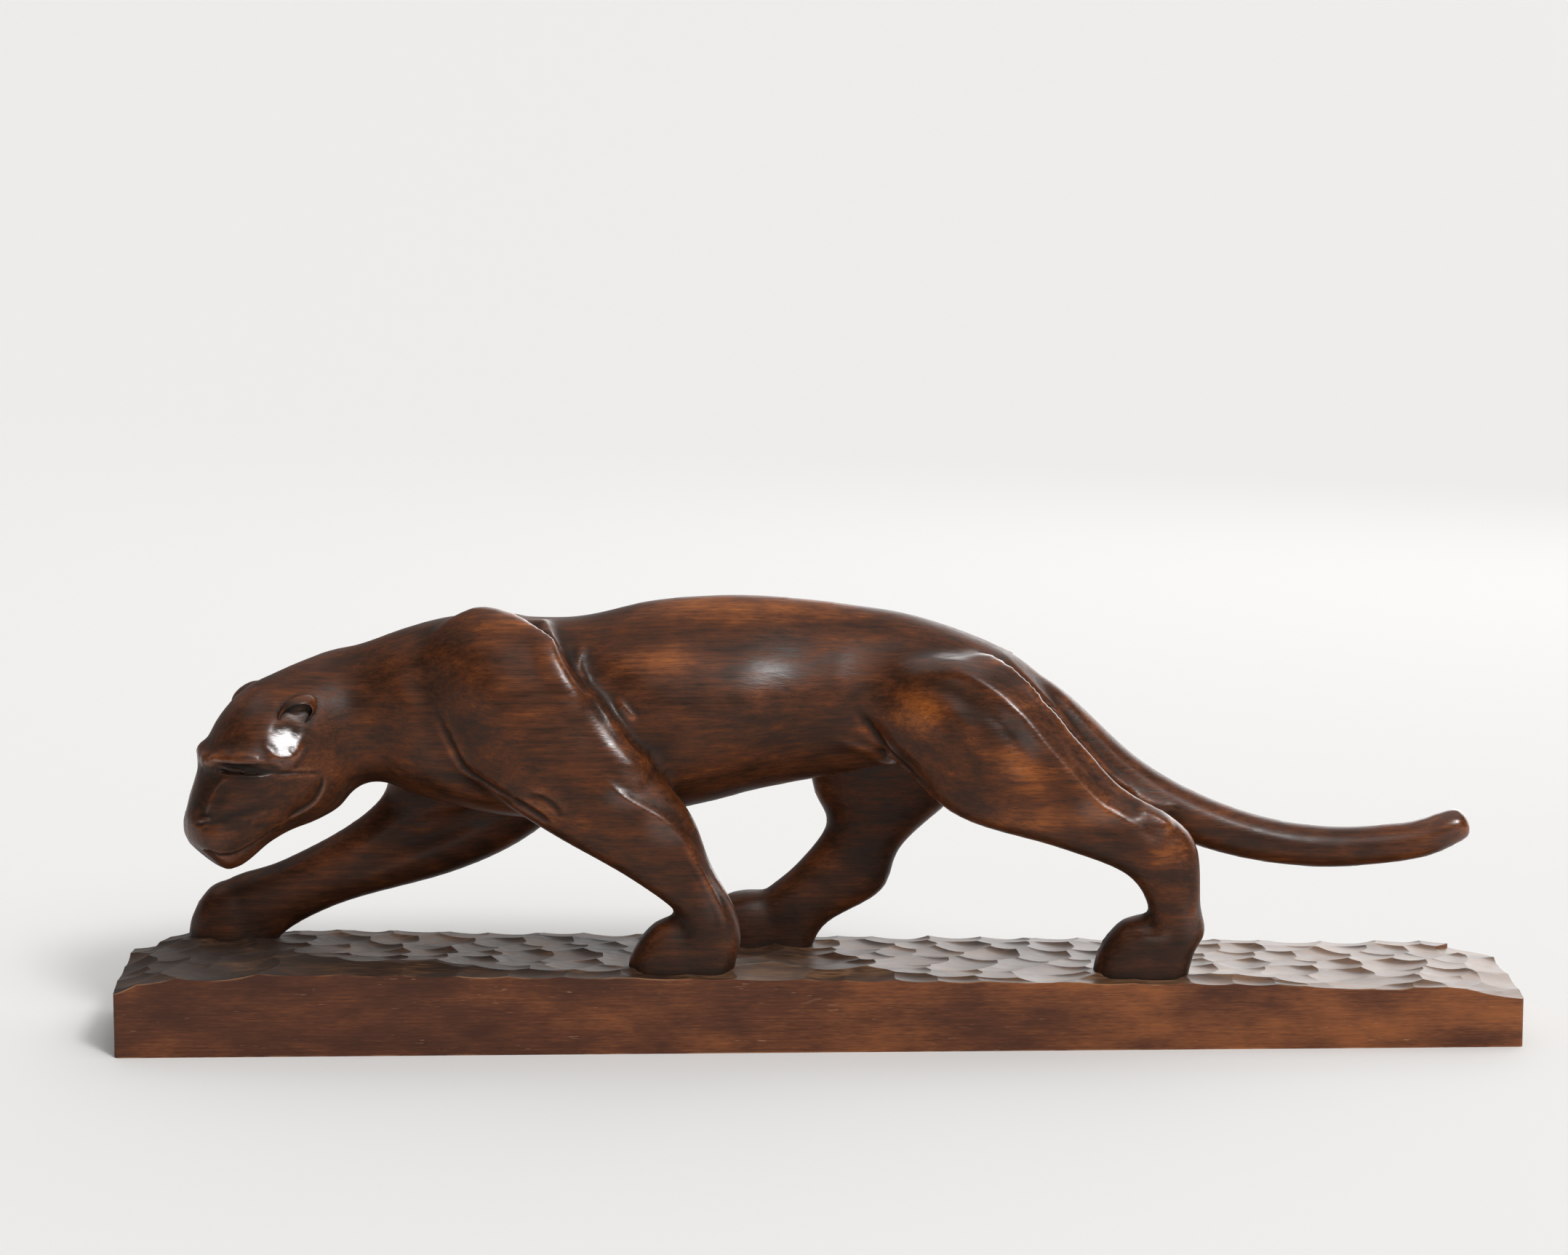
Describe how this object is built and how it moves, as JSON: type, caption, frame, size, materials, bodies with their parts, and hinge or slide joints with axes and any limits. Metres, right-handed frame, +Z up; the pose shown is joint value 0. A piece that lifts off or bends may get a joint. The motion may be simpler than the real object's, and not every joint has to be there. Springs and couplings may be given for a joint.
{
  "type": "panther sculpture",
  "caption": "Stalking panther with lowered, turned head and long tail, carved in one piece with a long narrow gouged plinth.",
  "frame": {"origin": "middle of the plinth's underside", "axes": "+Z up, +X along the plinth from the head end to the tail end, -Y towards the side that is meant to be seen"},
  "size_m": [0.6, 0.09, 0.1905],
  "materials": {
    "carved_wood": "stained dark red-brown, varnished and polished"
  },
  "bodies": {
    "root": {"panther_on_plinth": "carved_wood"}
  },
  "joints": []
}
